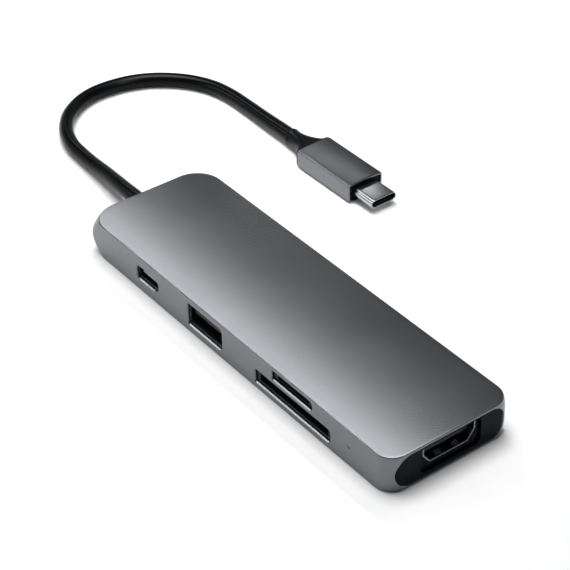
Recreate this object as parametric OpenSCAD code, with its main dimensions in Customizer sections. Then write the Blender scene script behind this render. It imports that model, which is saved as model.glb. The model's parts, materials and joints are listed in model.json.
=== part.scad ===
// USB hub: an aluminium sleeve with one board, side and end sockets, and a cable with a plug.
// Frame: X runs along the hub, from the cable end to the video socket. The card slots and
// the side sockets face -Y. Z is up, and the origin is the middle of the underside.

/* [Housing] */
// Length of the hub, without its cable
hub_length = 116; // [115:1:140]
// Width of the hub
hub_width = 35; // [34.5:0.5:44]
// Height of the hub
hub_height = 9.8; // [9.7:0.1:12]
// Thickness of the top and bottom walls
skin = 0.9; // [0.85:0.05:0.95]
// Thickness of the side walls at half height
side_wall = 2.2; // [2:0.1:2.3]
// Corner radius at the video socket end, at half height
socket_end_radius_mid = 3.8; // [3:0.1:4]
// Corner radius at the video socket end, on the top and bottom faces
socket_end_radius_face = 5; // [3:0.1:7]
// Corner radius at the cable end, at half height
cable_end_radius_mid = 2.4; // [2:0.1:3.6]
// Corner radius at the cable end, on the top and bottom faces
cable_end_radius_face = 7.4; // [4:0.1:9]

/* [End caps] */
// Depth of the seat that each end cap's plate sits in
cap_seat = 2; // [1.8:0.1:2.4]
// How far the seat is wider than the bore, all round
seat_step = 0.2; // [0.15:0.05:0.3]
// How far the caps stand back from the end faces
cap_inset = 0.1; // [0.05:0.05:0.2]
// Length of the skirt behind each cap's plate
cap_skirt = 2; // [1.5:0.1:2.2]
// Wall of the skirt
skirt_wall = 0.6; // [0.5:0.05:0.65]
// Gap all round a cap
cap_gap = 0.05; // [0.03:0.01:0.1]

/* [Side sockets] */
// Place of the USB-C socket along the hub
usb_c_x = -32.2; // [-33:0.1:-31]
// Place of the USB-A socket along the hub
usb_a_x = -8.6; // [-9.5:0.1:-7.6]
// Place of both card slots along the hub
card_x = 24.5; // [24:0.1:25]
// Height of the middle of both USB sockets
usb_z = 5.15; // [5:0.05:5.3]
// How far the sockets stand back from the side face
socket_setback = 0.7; // [0.5:0.05:1]
// Gap between a socket and its opening in the side wall
socket_gap = 0.2; // [0.1:0.05:0.3]
// Width of the wide card socket's nose
wide_slot_nose_w = 26.8; // [26.4:0.1:27.2]
// Height of the wide card socket's nose
wide_slot_nose_h = 3; // [2.9:0.05:3.1]
// Height of the middle of the wide card socket's nose
wide_slot_z = 3.5; // [3.45:0.05:3.55]
// Width of the small card socket's nose
small_slot_nose_w = 14; // [13.4:0.1:14.4]
// Diameter of the light's hole
light_hole = 1; // [0.9:0.05:1.2]
// Place of the light along the hub
light_x = 44.7; // [44.2:0.1:46]

/* [Video socket] */
// Width of the socket's shell
video_w = 14.9; // [14.7:0.1:15.2]
// Width of the shell's narrow lower side
video_foot_w = 10.8; // [10.4:0.1:11.2]
// Height of the shell
video_h = 5.3; // [5.2:0.05:5.35]
// Height of the underside of the shell
video_z = 3.15; // [3.05:0.05:3.2]
// How far the shell's front stands back from the end face
video_setback = 0.9; // [0.8:0.05:1.2]
// Length of the shell
video_length = 11; // [10.4:0.1:11.2]
// Width of the recess round the socket
recess_w = 17; // [16.6:0.1:17.4]
// Height of the underside of the recess
recess_z = 1.75; // [1.6:0.05:2]
// Depth of the recess
recess_depth = 0.7; // [0.4:0.05:0.9]

/* [Board and tray] */
// Height of the board's underside
board_z = 5.6; // [5.58:0.01:5.64]
// Thickness of the board
board_t = 0.8; // [0.74:0.02:0.84]
// Room beside the board and the tray, so that the sockets clear the wall on the way in
slide_room = 1.7; // [1.6:0.1:2]
// Gap round the sockets in the board's notches
notch_gap = 0.2; // [0.1:0.05:0.25]
// Thickness of the tray's floor
tray_t = 0.6; // [0.5:0.05:0.7]
// Diameter of the tray's posts
post_d = 4; // [3.4:0.1:4.2]
// Thread diameter of the board screws
screw_d = 1.6; // [1.4:0.1:1.8]
// Head diameter of the board screws
screw_head_d = 3; // [2.6:0.1:3.2]
// Length of a screw under its head
screw_length = 3.6; // [3:0.1:3.9]

/* [Card carriage] */
// Gap round the small card socket's carriage
sled_gap = 0.08; // [0.05:0.01:0.1]
// Free length of the carriage's spring
spring_free = 3.4; // [3:0.1:3.8]

/* [Cable and plug] */
// Diameter of the cable
cable_d = 4; // [3.6:0.1:4]
// Diameter of the collar outside the cable end cap
collar_d = 6.2; // [5.6:0.1:7]
// How far the collar stands out of the cap
collar_length = 2.4; // [2:0.1:3]
// Diameter of the collar's neck in the cap
neck_d = 5.2; // [4.8:0.1:5.5]
// Length of the plug's shell
plug_length = 21.6; // [20:0.1:24]
// Width of the plug's shell
plug_width = 11; // [10.6:0.1:13]
// Height of the plug's shell
plug_height = 5.6; // [5.6:0.1:6.8]
// How far the plug's top and bottom swell at the middle
plug_crown = 0.25; // [0.1:0.05:0.3]
// Wall of the plug's shell
plug_wall = 0.5; // [0.4:0.05:0.6]
// How far the metal tongue stands out of the plug
tongue_out = 7.4; // [6.6:0.1:8.4]
// Diameter of the boot's ring round the cable
boot_ring_d = 4.7; // [4.5:0.1:5]
// Length of the boot behind the plug's shell
boot_length = 9.8; // [8:0.1:12]

/* [Hidden] */
$fn = 48;

over = 1;
half_l = hub_length / 2;
half_w = hub_width / 2;
mid_z = hub_height / 2;
side_y = -half_w;

// The sleeve's outline: corner arcs whose radius grows towards the top and bottom faces
corner_steps = 8;
levels = [0, 0.1, 0.22, 0.36, 0.5, 0.64, 0.78, 0.9, 1];
socket_end_power = 4;
cable_end_power = 2;

// The bore of the sleeve, a slot with full round sides
bore_h = hub_height - 2 * skin;
bore_r = bore_h / 2;
bore_half_w = half_w - side_wall;
seat_x = half_l - cap_seat;
cap_face_x = half_l - cap_inset;
skirt_x = seat_x - cap_skirt;

// Half width of the bore at a height, less a gap
bore_gap = 0.15;
function bore_side(z) = bore_half_w - bore_r + sqrt(pow(bore_r, 2) - pow(z - mid_z, 2)) - bore_gap;

// The board, which reaches one side wall with the sockets and leaves room at the other
board_top = board_z + board_t;
board_low_y = -bore_side(board_top);
board_high_y = bore_side(board_top) - slide_room;
board_x0 = -half_l + 10;
board_x1 = skirt_x - 0.5;
screw_y = 7.4;
screw_places = [
    [board_x0 + 4, screw_y], [board_x0 + 4, -screw_y], [-21.5, -screw_y],
    [4.3, screw_y], [4.3, -screw_y], [half_l - 15.6, screw_y], [half_l - 15.6, -screw_y]
];
screw_hole_gap = 0.1;
screw_head_t = 1;
screw_slot_w = 0.3;
screw_slot_z = 0.4;

// The tray under the board, and the cap arms whose pegs hold it
tray_top = skin + tray_t;
tray_half_w = bore_half_w - bore_r - 0.1;
tray_x = skirt_x - 0.5;
post_floor = 0.6;
arm_w = 4;
arm_t = 0.9;
arm_length = 3.4;
peg_y = 7;
peg_d = 1.6;
peg_gap = 0.1;
peg_back = 1.2;

// Side sockets
socket_y = side_y + socket_setback;
metal = 0.3;
ear_t = 0.3;
ear_w = 1.5;
ear_y = 3;
ear_length = 1.6;
strip_t = 0.1;
usb_a_w = 13.2;
usb_a_h = 5.5;
usb_a_length = 13.8;
usb_a_tongue_w = 11.1;
usb_a_tongue_t = 1.84;
usb_a_tongue_back = 0.8;
usb_a_block = 4;
usb_a_tongue_top = usb_z + usb_a_h / 2 - metal - 0.5;
usb_c_w = 8.94;
usb_c_h = 3.26;
usb_c_length = 7.4;
usb_c_tongue_w = 6.7;
usb_c_tongue_t = 0.7;
usb_c_tongue_back = 0.6;
usb_c_block = 2.1;
usb_c_strip = [0.24, 0.06];

// The wide card socket, which hangs under the board
wide_slot_card_w = 24.6;
wide_slot_body_w = 28;
wide_slot_nose_length = 3.4;
wide_slot_depth = 24;
wide_slot_cover_t = 0.3;
wide_slot_back_wall = 0.8;
wide_slot_low = wide_slot_z - wide_slot_nose_h / 2;
wide_slot_channel_z = wide_slot_low + wide_slot_cover_t;
wide_slot_channel_top = wide_slot_channel_z + 2.4;
wide_slot_nose_y = socket_y + wide_slot_nose_length;
wide_slot_back_y = socket_y + wide_slot_depth;

// The small card socket, which stands on the board
small_slot_card_w = 11.2;
small_slot_body_w = 14.8;
small_slot_nose_length = 4.6;
small_slot_depth = 15;
small_slot_nose_floor = 0.25;
small_slot_cover_t = 0.2;
small_slot_back_wall = 0.8;
small_slot_floor_z = board_top + 0.6;
small_slot_roof_z = small_slot_floor_z + 1.4;
small_slot_nose_y = socket_y + small_slot_nose_length;
small_slot_back_y = socket_y + small_slot_depth;

// The carriage and its spring, in the socket's channel
sled_w = 1.1;
sled_length = 2.6;
sled_x = card_x + small_slot_card_w / 2 - sled_gap - sled_w;
spring_d = 0.9;
spring_wire = 0.16;
spring_turns = 6;
spring_steps = 12;
spring_y1 = small_slot_back_y - small_slot_back_wall;
spring_y0 = spring_y1 - spring_free;

// Light
light_z = board_z - 0.2;
pipe_inset = 0.1;
pipe_flange_d = 1.5;
pipe_flange_t = 0.2;

// Video socket
video_front = half_l - video_setback;
video_back = video_front - video_length;
video_wall = 0.35;
video_hole_gap = 0.1;
video_foot_h = 2.65;
video_block = 3.2;
video_finger_y = 2.45;
video_finger_w = 1.8;
video_tongue_w = 12.4;
video_tongue_t = 0.9;
video_tongue_z = video_z + 2.3;
recess_top = video_z + video_h + 0.35;

// Parts on the board
chip_t = 0.9;
shield_t = 0.2;
shield_h = 1.8;
shield_low = [-39, -0.5];
shield_high = [-9.5, 9];
shield_mid_y = (shield_low[1] + shield_high[1]) / 2;

// Cable end
cable_r = cable_d / 2;
collar_end = -cap_face_x - collar_length;
collar_edge = 0.9;
flange_t = 1;
flange_d = 6.4;
tail_end = -half_l + 8;
clamp_d = 6;
clamp_length = 3.4;
wire_d = 0.8;
wire_pitch = 1;
wire_z = board_z - wire_d / 2 - 0.05;

// Route of the cable's middle line, from the collar to the boot
cable_route = [
    [-60.3, 0, 4.9], [-64, 0, 4.9], [-68, 0.2, 4.6], [-74, 0.8, 3.9], [-80, 1.4, 3.1],
    [-86, 1.8, 2.4], [-92, 2.2, 2], [-98, 2.8, 2], [-104.5, 5, 2], [-110.5, 9.2, 2],
    [-114.4, 14.4, 2], [-116.5, 19.6, 2], [-117, 25, 2], [-116.2, 31, 2], [-114, 36.8, 2],
    [-110.3, 42, 2], [-105.2, 46.5, 2], [-99, 49.6, 2], [-92, 50.9, 2], [-84.5, 51, 2.1],
    [-78, 50.8, 2.3], [-72.5, 50.6, 2.6], [-68, 50.5, 2.8], [-64, 50.5, 2.8]
];
cable_sides = 10;

// Plug, which lies on the floor at the end of the cable's route
route_end = cable_route[len(cable_route) - 1];
boot_end = route_end[0];
plug_back = boot_end + boot_length;
plug_x = plug_back + plug_length;
plug_y = route_end[1];
plug_z = plug_height / 2;
plug_edge = 0.6;
tongue_w = 8.25;
tongue_h = 2.4;
tongue_root = 5;
front_plate_t = 0.8;
front_plate_inset = 0.3;
boot_ring_length = 1.2;
boot_flange_t = 0.5;
boot_plug_length = 2;
boot_steps = 9;
boot_sides = 32;
boot_flare = 2.4;

// ---- Shared shapes ----

// A rectangle with round corners
module round_rect(w, h, r, at = [0, 0]) {
    translate(at) {
        square([w - 2 * r, h], center = true);
        square([w, h - 2 * r], center = true);
        for (sx = [-1, 1], sy = [-1, 1])
            translate([sx * (w / 2 - r), sy * (h / 2 - r)]) circle(r);
    }
}

// A slot with full round ends
module slot(w, h, at = [0, 0]) {
    translate(at) {
        square([w - h, h], center = true);
        for (s = [-1, 1]) translate([s * (w - h) / 2, 0]) circle(d = h);
    }
}

// A rectangle centred on a point
module square_at(at, size) {
    translate(at) square(size, center = true);
}

// Stretches a sketch of Y and Z from x0 to x1
module along_x(x0, x1) {
    translate([x0, 0, 0]) rotate([90, 0, 90]) linear_extrude(x1 - x0) children();
}

// Stretches a sketch of X and Z from y0 to y1
module along_y(y0, y1) {
    translate([0, y1, 0]) rotate([90, 0, 0]) linear_extrude(y1 - y0) children();
}

// A block between two corners
module block(low, high) {
    translate(low) cube(high - low);
}

// A block centred on a place in plan, standing on a height
module chip(at, size, z = board_top) {
    translate([at[0] - size[0] / 2, at[1] - size[1] / 2, z]) cube(size);
}

// A cylinder along X
module bar(x0, x1, d, y = 0, z = mid_z) {
    translate([x0, y, z]) rotate([0, 90, 0]) cylinder(d = d, h = x1 - x0);
}

// A closed solid through rings of points, which run anticlockwise seen from the last ring
module skin_rings(rings) {
    n = len(rings[0]);
    last = len(rings) - 1;
    sides = [
        for (i = [0:last - 1], k = [0:n - 1])
            let (a = i * n + k, b = i * n + (k + 1) % n)
            each [[a, b + n, b], [a, a + n, b + n]]
    ];
    bottom = [[for (k = [0:n - 1]) k]];
    top = [[for (k = [0:n - 1]) last * n + n - 1 - k]];
    polyhedron(points = [for (ring = rings, p = ring) p], faces = concat(sides, bottom, top));
}

// Direction of a path at one of its points
function path_dir(path, i) =
    let (d = path[min(i + 1, len(path) - 1)] - path[max(i - 1, 0)])
    d / norm(d);

// A ring round a point of a path, square to the path
function path_ring(path, i, r, sides, up) =
    let (d = path_dir(path, i))
    let (side = cross(d, up) / norm(cross(d, up)))
    let (top = cross(side, d))
    [for (k = [0:sides - 1]) path[i] + r * (side * sin(360 * k / sides) + top * cos(360 * k / sides))];

// A round rod along a path
module rod(path, r, sides, up = [0, 0, 1]) {
    skin_rings([for (i = [0:len(path) - 1]) path_ring(path, i, r, sides, up)]);
}

// ---- Housing, caps and tray ----

// The bore's outline, made larger or smaller all round
module bore_outline(grow = 0) {
    slot(2 * (bore_half_w + grow), bore_h + 2 * grow, [0, mid_z]);
}

// Corner radius at a level: the radius at half height, growing to the one on the faces
function level_radius(u, mid_r, face_r, power) =
    mid_r + (face_r - mid_r) * pow(abs(2 * u - 1), power);

// Points of one corner's arc, for the corner on sides sx and sy
function corner_arc(sx, sy, r, start) = [
    for (k = [0:corner_steps])
        let (a = start + 90 * k / corner_steps)
        [sx * (half_l - r) + r * cos(a), sy * (half_w - r) + r * sin(a)]
];

// The sleeve's outline at a level from 0 at the underside to 1 at the top
function level_outline(u) =
    let (rs = level_radius(u, socket_end_radius_mid, socket_end_radius_face, socket_end_power))
    let (rc = level_radius(u, cable_end_radius_mid, cable_end_radius_face, cable_end_power))
    concat(
        corner_arc(1, 1, rs, 0), corner_arc(-1, 1, rc, 90),
        corner_arc(-1, -1, rc, 180), corner_arc(1, -1, rs, 270)
    );

// An opening through the side wall
module side_opening() {
    along_y(side_y - over, side_y + side_wall + bore_r) children();
}

module housing() {
    color("#63666b") difference() {
        skin_rings([for (u = levels) [for (p = level_outline(u)) [p[0], p[1], u * hub_height]]]);
        along_x(-half_l - over, half_l + over) bore_outline();
        along_x(seat_x, half_l + over) bore_outline(seat_step);
        along_x(-half_l - over, -seat_x) bore_outline(seat_step);
        side_opening() usb_c_outline(socket_gap);
        side_opening() usb_a_outline(socket_gap);
        side_opening() wide_slot_outline(socket_gap);
        side_opening() small_slot_outline(socket_gap);
        translate([light_x, side_y - over, light_z]) rotate([-90, 0, 0])
            cylinder(d = light_hole, h = side_wall + 2 * over);
    }
}

// An end cap's plate, skirt, arms and pegs, at the +X end
module cap_body(corner_r) {
    intersection() {
        along_x(seat_x, cap_face_x) bore_outline(seat_step - cap_gap);
        linear_extrude(hub_height) round_rect(hub_length, hub_width, corner_r);
    }
    difference() {
        along_x(skirt_x, seat_x) bore_outline(-cap_gap);
        along_x(skirt_x - over, seat_x) bore_outline(-cap_gap - skirt_wall);
    }
    for (s = [-1, 1]) {
        block(
            [skirt_x - arm_length, s * peg_y - arm_w / 2, tray_top],
            [seat_x, s * peg_y + arm_w / 2, tray_top + arm_t]
        );
        translate([skirt_x - arm_length + peg_back, s * peg_y, skin + peg_gap])
            cylinder(d = peg_d, h = tray_t);
    }
}

module video_end_cap() {
    recess_h = recess_top - recess_z;
    color("#16191f") difference() {
        cap_body(socket_end_radius_mid);
        along_x(cap_face_x - recess_depth, half_l)
            round_rect(recess_w, recess_h, 1.2, [0, recess_z + recess_h / 2]);
        along_x(skirt_x, half_l) polygon(video_outline(video_hole_gap));
    }
}

module cable_end_cap() {
    color("#16191f") difference() {
        mirror([1, 0, 0]) cap_body(cable_end_radius_mid);
        bar(-half_l, -skirt_x, neck_d);
    }
}

module inner_tray() {
    color("#1f2226") difference() {
        union() {
            block([-tray_x, -tray_half_w, skin], [tray_x, tray_half_w - slide_room, tray_top]);
            for (p = screw_places)
                translate([p[0], p[1], tray_top]) cylinder(d = post_d, h = board_z - tray_top);
        }
        for (p = screw_places)
            translate([p[0], p[1], tray_top + post_floor]) cylinder(d = screw_d, h = hub_height);
        for (sx = [-1, 1], sy = [-1, 1])
            translate([sx * (skirt_x - arm_length + peg_back), sy * peg_y, 0])
                cylinder(d = peg_d + 2 * peg_gap, h = tray_top + over);
    }
}

// ---- Board ----

// A notch from the board's edge round a side socket
module side_notch(x, w, length) {
    block(
        [x - w / 2 - notch_gap, side_y, board_z - over],
        [x + w / 2 + notch_gap, socket_y + length + notch_gap, board_top + over]
    );
}

module main_board() {
    color("#1d4a34") difference() {
        block([board_x0, board_low_y, board_z], [board_x1, board_high_y, board_top]);
        side_notch(usb_c_x, usb_c_w, usb_c_length);
        side_notch(usb_a_x, usb_a_w, usb_a_length);
        block(
            [video_back - notch_gap, -video_w / 2 - notch_gap, board_z - over],
            [half_l, video_w / 2 + notch_gap, board_top + over]
        );
        for (p = screw_places)
            translate([p[0], p[1], board_z - over])
                cylinder(d = screw_d + 2 * screw_hole_gap, h = board_t + 2 * over);
    }
}

module board_screws() {
    color("#b9bcc0") for (p = screw_places)
        translate([p[0], p[1], board_top]) {
            translate([0, 0, -screw_length]) cylinder(d = screw_d, h = screw_length);
            difference() {
                cylinder(d = screw_head_d, h = screw_head_t);
                chip([0, 0], [screw_d, screw_slot_w, screw_head_t], screw_slot_z);
                chip([0, 0], [screw_slot_w, screw_d, screw_head_t], screw_slot_z);
            }
        }
}

module hub_chip() {
    color("#24262a") chip([-27.5, shield_mid_y], [9, 9, chip_t]);
}

module video_chip() {
    color("#24262a") chip([-15.5, shield_mid_y], [7, 7, chip_t]);
}

module card_chip() {
    color("#24262a") chip([card_x, small_slot_back_y + 7], [6, 6, chip_t]);
}

module power_chip() {
    color("#24262a") chip([usb_c_x, socket_y + usb_c_length + 4], [4, 4, chip_t]);
}

module crystal() {
    color("#c9ccd1") chip([-35.4, shield_mid_y], [3.2, 2.5, 0.8]);
}

module power_inductors() {
    color("#3a3d42") for (x = [-5, 0]) chip([x, 3], [4, 4, 1.8]);
}

module capacitors() {
    color("#a8865a") for (i = [0:8]) chip([-40 + 6 * i, board_high_y - 1.6], [1.6, 0.8, 0.8]);
}

module shield_can() {
    low = concat(shield_low, board_top);
    high = concat(shield_high, board_top + shield_h);
    color("#c4c7cc") difference() {
        block(low, high);
        block(low + [shield_t, shield_t, -over], high - [shield_t, shield_t, shield_t]);
    }
}

module thermal_pad() {
    margin = 1;
    color("#8fa3b5") block(
        [shield_low[0] + margin, shield_low[1] + margin, board_top + shield_h],
        [shield_high[0] - margin, shield_high[1] - margin, hub_height - skin]
    );
}

module light_pipe() {
    length = board_low_y - side_y - pipe_inset;
    color("#e8ecef") translate([light_x, side_y + pipe_inset, light_z]) rotate([-90, 0, 0]) {
        cylinder(d = light_hole - 0.06, h = length);
        translate([0, 0, length - pipe_flange_t]) cylinder(d = pipe_flange_d, h = pipe_flange_t);
    }
}

module status_led() {
    color("#f1e9c8") chip([light_x, board_low_y + 0.5], [1.6, 1, 0.7], board_z - 0.7);
}

// ---- Video socket ----

// The outline of the video socket, grown all round, with its lower corners cut at a slant
function video_outline(grow) =
    let (w = video_w / 2, slope = video_foot_h / (w - video_foot_w / 2), lean = sqrt(1 + pow(slope, 2)))
    let (low = video_z - grow, high = video_z + video_h + grow)
    let (knee = video_z + video_foot_h + grow * (slope - lean))
    let (toe = w + (grow * lean - grow - video_foot_h) / slope)
    [[-w - grow, high], [-w - grow, knee], [-toe, low], [toe, low], [w + grow, knee], [w + grow, high]];

// A spring finger pressed up from the shell's floor
module video_finger(y) {
    low = video_z + video_wall;
    along_y(y - video_finger_w / 2, y + video_finger_w / 2) polygon([
        [video_front - 4.5, low], [video_front - 0.5, low], [video_front - 1.4, low + 0.5],
        [video_front - 2, low + 0.5]
    ]);
}

module video_shell() {
    color("#b4b7bb") {
        difference() {
            along_x(video_back, video_front) polygon(video_outline(0));
            along_x(video_back + video_wall, video_front + over) polygon(video_outline(-video_wall));
        }
        for (s = [-1, 1]) {
            video_finger(s * video_finger_y);
            chip([video_back + 4, s * (video_w + ear_w) / 2], [3, ear_w, ear_t]);
        }
    }
}

module video_tongue() {
    x0 = video_back + video_wall;
    color("#15171b") {
        along_x(x0, x0 + video_block) polygon(video_outline(-video_wall));
        block(
            [x0 + video_block, -video_tongue_w / 2, video_tongue_z],
            [video_front - 1.2, video_tongue_w / 2, video_tongue_z + video_tongue_t]
        );
    }
}

module video_contacts() {
    x0 = video_back + video_wall + video_block;
    length = video_front - 1.6 - x0;
    color("#d9b45a") {
        for (i = [0:8])
            chip([x0 + length / 2, i - 4], [length, 0.4, strip_t], video_tongue_z - strip_t);
        for (i = [0:9])
            chip([x0 + length / 2, i - 4.5], [length, 0.4, strip_t], video_tongue_z + video_tongue_t);
    }
}

// ---- USB sockets ----

module usb_a_outline(grow = 0) {
    round_rect(usb_a_w + 2 * grow, usb_a_h + 2 * grow, 0.7 + grow, [usb_a_x, usb_z]);
}

module usb_c_outline(grow = 0) {
    slot(usb_c_w + 2 * grow, usb_c_h + 2 * grow, [usb_c_x, usb_z]);
}

// The ears that hold a side socket on the board, from inside its wall to past its side
module side_ears(x, from, to) {
    for (s = [-1, 1])
        chip([x + s * (from + to) / 2, socket_y + ear_y + ear_length / 2], [to - from, ear_length, ear_t]);
}

module usb_a_shell() {
    color("#aeb1b5") difference() {
        union() {
            along_y(socket_y, socket_y + usb_a_length) usb_a_outline();
            side_ears(usb_a_x, usb_a_w / 2 - metal, usb_a_w / 2 + ear_w);
        }
        along_y(socket_y - over, socket_y + usb_a_length - metal) usb_a_outline(-metal);
        for (s = [-1, 1])
            chip([usb_a_x + s * 3, socket_y + 5.4], [1.8, 4, usb_a_h / 2], usb_z - usb_a_h);
    }
}

module usb_a_tongue() {
    y1 = socket_y + usb_a_length - metal;
    color("#17191d") {
        along_y(y1 - usb_a_block, y1) usb_a_outline(-metal);
        block(
            [usb_a_x - usb_a_tongue_w / 2, socket_y + usb_a_tongue_back, usb_a_tongue_top - usb_a_tongue_t],
            [usb_a_x + usb_a_tongue_w / 2, y1 - usb_a_block, usb_a_tongue_top]
        );
    }
}

module usb_a_contacts() {
    y1 = socket_y + usb_a_length - metal - usb_a_block;
    z1 = usb_a_tongue_top - usb_a_tongue_t;
    color("#d9b45a") for (x = [-3.5, -1, 1, 3.5])
        block([usb_a_x + x - 0.4, socket_y + 1.6, z1 - strip_t], [usb_a_x + x + 0.4, y1, z1]);
}

module usb_c_shell() {
    color("#8d9095") difference() {
        union() {
            along_y(socket_y, socket_y + usb_c_length) usb_c_outline();
            side_ears(usb_c_x, usb_c_w / 2 - 1.1, usb_c_w / 2 + ear_w);
        }
        along_y(socket_y - over, socket_y + usb_c_length - metal) usb_c_outline(-metal);
    }
}

module usb_c_tongue() {
    y1 = socket_y + usb_c_length - metal;
    color("#9a9da1") {
        along_y(y1 - usb_c_block, y1) usb_c_outline(-metal);
        along_y(socket_y + usb_c_tongue_back, y1 - usb_c_block)
            square_at([usb_c_x, usb_z], [usb_c_tongue_w, usb_c_tongue_t]);
    }
}

module usb_c_contacts() {
    y1 = socket_y + usb_c_length - metal - usb_c_block;
    rise = (usb_c_tongue_t + usb_c_strip[1]) / 2;
    color("#d9b45a") for (i = [0:11], s = [-1, 1])
        along_y(socket_y + 1.3, y1) square_at([usb_c_x + 0.5 * (i - 5.5), usb_z + s * rise], usb_c_strip);
}

// ---- Card sockets ----

module wide_slot_outline(grow = 0) {
    round_rect(wide_slot_nose_w + 2 * grow, wide_slot_nose_h + 2 * grow, 0.4 + grow, [card_x, wide_slot_z]);
}

module small_slot_outline(grow = 0) {
    low = small_slot_floor_z - small_slot_nose_floor;
    high = small_slot_roof_z + small_slot_cover_t;
    round_rect(small_slot_nose_w + 2 * grow, high - low + 2 * grow, 0.4 + grow, [card_x, (low + high) / 2]);
}

// The part of a sketch of X and Z that lies between two heights
module between(z0, z1) {
    intersection() {
        children();
        translate([-half_l, z0]) square([hub_length, z1 - z0]);
    }
}

// The wide card socket's contacts: along the channel's roof, out through its back, up to the board
module wide_slot_contact_strips() {
    y0 = wide_slot_back_y - 9;
    y1 = wide_slot_back_y + 0.6;
    top = wide_slot_channel_top;
    for (i = [0:8]) {
        x = card_x + 2.5 * (i - 4);
        block([x - 0.4, y0, top - 0.15], [x + 0.4, y1, top]);
        block([x - 0.4, y1 - 0.15, top], [x + 0.4, y1, board_z]);
        block([x - 0.3, y0, top - 0.55], [x + 0.3, y0 + 0.4, top - 0.15]);
    }
}

module wide_slot_base() {
    half = wide_slot_body_w / 2;
    color("#1a1c20") difference() {
        union() {
            block(
                [card_x - half, wide_slot_nose_y, wide_slot_channel_z],
                [card_x + half, wide_slot_back_y, board_z]
            );
            along_y(socket_y, wide_slot_nose_y) between(wide_slot_channel_z, board_z) wide_slot_outline();
        }
        block(
            [card_x - wide_slot_card_w / 2, socket_y - over, wide_slot_channel_z - over],
            [card_x + wide_slot_card_w / 2, wide_slot_back_y - wide_slot_back_wall, wide_slot_channel_top]
        );
        wide_slot_contact_strips();
    }
}

module wide_slot_cover() {
    half = wide_slot_body_w / 2 + metal;
    color("#b7babe") difference() {
        union() {
            along_y(socket_y, wide_slot_nose_y)
                between(wide_slot_low, wide_slot_channel_z) wide_slot_outline();
            block(
                [card_x - half, wide_slot_nose_y, wide_slot_low],
                [card_x + half, wide_slot_back_y, wide_slot_channel_z]
            );
            for (x = [card_x - half, card_x + half - metal])
                block(
                    [x, wide_slot_nose_y, wide_slot_low],
                    [x + metal, wide_slot_back_y, wide_slot_channel_top]
                );
        }
        for (s = [-1, 1]) chip([card_x + s * 8, wide_slot_back_y - 11], [2.4, 6, wide_slot_channel_z], 0);
    }
}

module wide_slot_contacts() {
    color("#d9b45a") wide_slot_contact_strips();
}

module small_slot_base() {
    half = small_slot_body_w / 2;
    color("#1a1c20") difference() {
        union() {
            block(
                [card_x - half, small_slot_nose_y, board_top],
                [card_x + half, small_slot_back_y, small_slot_roof_z]
            );
            along_y(socket_y, small_slot_nose_y) between(board_top, small_slot_roof_z) small_slot_outline();
        }
        block(
            [card_x - small_slot_card_w / 2, socket_y - over, small_slot_floor_z],
            [card_x + small_slot_card_w / 2, spring_y1, small_slot_roof_z + over]
        );
    }
}

module small_slot_cover() {
    half = small_slot_body_w / 2 + small_slot_cover_t;
    high = small_slot_roof_z + small_slot_cover_t;
    color("#b7babe") {
        along_y(socket_y, small_slot_nose_y) between(small_slot_roof_z, high) small_slot_outline();
        block(
            [card_x - half, small_slot_nose_y, small_slot_roof_z],
            [card_x + half, small_slot_back_y, high]
        );
        for (x = [card_x - half, card_x + half - small_slot_cover_t])
            block([x, small_slot_nose_y, board_top], [x + small_slot_cover_t, small_slot_back_y, high]);
    }
}

module small_slot_contacts() {
    color("#d9b45a") for (i = [0:7])
        chip([card_x + 1.1 * i - 4.6, spring_y1 - 2.5], [0.7, 5, 0.08], small_slot_floor_z);
}

module card_sled() {
    color("#3a3d42") block(
        [sled_x, spring_y0 - sled_length, small_slot_floor_z + sled_gap],
        [sled_x + sled_w, spring_y0, small_slot_roof_z - sled_gap]
    );
}

// A coil along Y, between the carriage and the socket's back wall
function spring_path() =
    let (steps = spring_turns * spring_steps, r = (spring_d - spring_wire) / 2)
    let (run = spring_free - 2 * spring_wire, z = (small_slot_floor_z + small_slot_roof_z) / 2)
    [
        for (i = [0:steps])
            let (a = 360 * i / spring_steps)
            [sled_x + sled_w / 2 + r * cos(a), spring_y0 + spring_wire + run * i / steps, z + r * sin(a)]
    ];

module card_spring() {
    color("#c9ccd1") rod(spring_path(), spring_wire / 2, 6, [0, 1, 0]);
}

// ---- Cable end ----

module cable_grommet() {
    neck_end = -seat_x + flange_t;
    straight = -cap_face_x - collar_end - collar_edge;
    color("#101114") translate([0, 0, mid_z]) rotate([0, 90, 0]) rotate_extrude() difference() {
        union() {
            translate([0, collar_end + collar_edge]) square([collar_d / 2, straight]);
            translate([0, collar_end]) square([collar_d / 2 - collar_edge, collar_edge]);
            translate([collar_d / 2 - collar_edge, collar_end + collar_edge]) circle(collar_edge);
            translate([0, -cap_face_x]) square([neck_d / 2, neck_end + cap_face_x]);
            translate([0, -seat_x]) square([flange_d / 2, flange_t]);
        }
        translate([0, collar_end - over]) square([cable_r, neck_end - collar_end + 2 * over]);
    }
}

module cable_tail() {
    color("#121316") bar(collar_end, tail_end, cable_d);
}

module cable_clamp() {
    color("#a5a8ac") difference() {
        bar(tail_end - 1 - clamp_length, tail_end - 1, clamp_d);
        bar(tail_end - 2 - clamp_length, tail_end, cable_d);
    }
}

module cable_wires() {
    color("#a33b32") for (i = [0:3]) {
        y = (i - 1.5) * wire_pitch;
        bar(tail_end, board_x0 + 1.5, wire_d, y, wire_z);
        block([board_x0 + 0.4, y - 0.42, wire_z - 0.3], [board_x0 + 1.9, y + 0.42, board_z]);
    }
}

module cable() {
    color("#121316") rod(cable_route, cable_r, cable_sides);
}

// ---- Plug ----

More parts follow.
